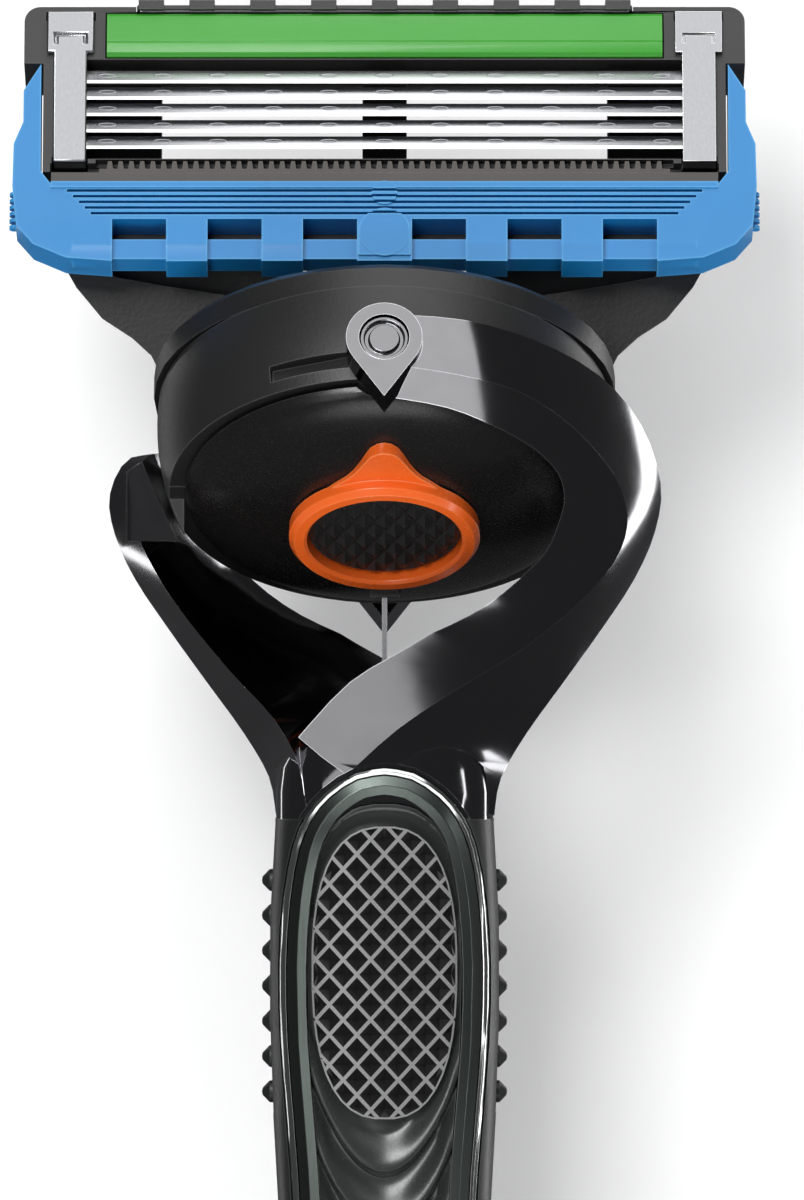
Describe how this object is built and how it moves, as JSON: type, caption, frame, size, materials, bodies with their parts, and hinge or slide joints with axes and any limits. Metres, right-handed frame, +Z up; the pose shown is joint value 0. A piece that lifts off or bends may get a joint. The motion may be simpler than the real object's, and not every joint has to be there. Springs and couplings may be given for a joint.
{
  "type": "cartridge razor",
  "caption": "Manual cartridge razor: tapered rubber handle, dark chrome frame holding a rolling ball pod with release button, pivoting blade cartridge with soft finned guard.",
  "frame": {"origin": "the grip point: on the handle's axis, level with the middle of the thumb pad", "axes": "+Z up along the handle to the blade unit, the shaving face looks along -Y, +X to the right seen from the front"},
  "size_m": [0.0438, 0.0309, 0.145],
  "materials": {
    "dark_chrome": "polished dark chrome",
    "black_rubber": "satin moulded rubber",
    "black_plastic": "fine satin moulded",
    "satin_metal": "satin grey-green lacquer",
    "bright_metal": "bright, lightly brushed",
    "steel": "ground steel",
    "blue_elastomer": "soft satin elastomer",
    "green_strip": "waxy lubricating strip",
    "orange_plastic": "satin gloss",
    "grey_plastic": "matte moulded"
  },
  "bodies": {
    "handle": {"frame": "dark_chrome", "handle_core": "steel", "core_pin": "steel", "grip_shell": "black_rubber", "side_strip_left": "black_rubber", "side_strip_right": "black_rubber", "bezel": "satin_metal", "bezel_rim": "bright_metal", "thumb_pad": "black_rubber", "wave_panel": "black_rubber", "end_cap": "dark_chrome"},
    "pod": {"pod_front_shell": "black_plastic", "pod_rear_shell": "black_plastic", "pivot_pin_front": "dark_chrome", "pivot_pin_rear": "dark_chrome", "dock_nose": "black_plastic", "plunger_spring": "steel", "dome": "black_plastic", "button_ring": "orange_plastic", "button_spring": "steel", "centering_spring": "steel", "spring_clamp": "black_plastic"},
    "plunger": {"plunger": "black_plastic"},
    "button": {"button_pad": "black_rubber", "ejector": "black_plastic"},
    "yoke": {"yoke": "black_plastic"},
    "blade_unit": {"housing": "black_plastic", "lubricating_strip": "green_strip", "trimmer_blade": "steel", "trimmer_guard": "black_plastic", "clip_left": "bright_metal", "clip_right": "bright_metal", "guard_comb": "grey_plastic", "guard_surround": "blue_elastomer"},
    "blade_1": {"blade_1": "steel", "blade_support_1": "steel"},
    "blade_2": {"blade_2": "steel", "blade_support_2": "steel"},
    "blade_3": {"blade_3": "steel", "blade_support_3": "steel"},
    "blade_4": {"blade_4": "steel", "blade_support_4": "steel"},
    "blade_5": {"blade_5": "steel", "blade_support_5": "steel"}
  },
  "joints": [
    {"name": "pod_roll", "type": "hinge", "parent": "handle", "child": "pod", "pos_m": [0, 0, 0.02955], "axis": [0, -0.8988, 0.4384], "range_deg": [-10, 10], "stiffness_Nm_per_rad": 0.03, "deforming": ["centering_spring"]},
    {"name": "cartridge_release", "type": "slide", "parent": "pod", "child": "yoke", "axis": [0, 0.515, 0.8572], "range_m": [0, 0.012]},
    {"name": "cartridge_pivot", "type": "hinge", "parent": "yoke", "child": "blade_unit", "pos_m": [0, 0.00499, 0.0435], "axis": [-1, 0, 0], "range_deg": [0, 40], "stiffness_Nm_per_rad": 0.006, "springref_deg": -5.73},
    {"name": "plunger_slide", "type": "slide", "parent": "pod", "child": "plunger", "axis": [0, -0.515, -0.8572], "range_m": [0, 0.0023], "stiffness_N_per_m": 0.4, "springref_m": -0.0025, "deforming": ["plunger_spring"]},
    {"name": "button_slide", "type": "slide", "parent": "pod", "child": "button", "axis": [0, 0.515, 0.8572], "range_m": [0, 0.0022], "stiffness_N_per_m": 400, "springref_m": -0.001, "deforming": ["button_spring"]},
    {"name": "blade_1_float", "type": "slide", "parent": "blade_unit", "child": "blade_1", "axis": [0, 0.9272, -0.3746], "range_m": [0, 0.00025], "stiffness_N_per_m": 2000, "springref_m": -0.0001},
    {"name": "blade_2_float", "type": "slide", "parent": "blade_unit", "child": "blade_2", "axis": [0, 0.9272, -0.3746], "range_m": [0, 0.00025], "stiffness_N_per_m": 2000, "springref_m": -0.0001},
    {"name": "blade_3_float", "type": "slide", "parent": "blade_unit", "child": "blade_3", "axis": [0, 0.9272, -0.3746], "range_m": [0, 0.00025], "stiffness_N_per_m": 2000, "springref_m": -0.0001},
    {"name": "blade_4_float", "type": "slide", "parent": "blade_unit", "child": "blade_4", "axis": [0, 0.9272, -0.3746], "range_m": [0, 0.00025], "stiffness_N_per_m": 2000, "springref_m": -0.0001},
    {"name": "blade_5_float", "type": "slide", "parent": "blade_unit", "child": "blade_5", "axis": [0, 0.9272, -0.3746], "range_m": [0, 0.00025], "stiffness_N_per_m": 2000, "springref_m": -0.0001}
  ],
  "couplings": [
    {"joint": "plunger_slide", "follows": "cartridge_pivot", "m_per_rad": 0.00294}
  ]
}
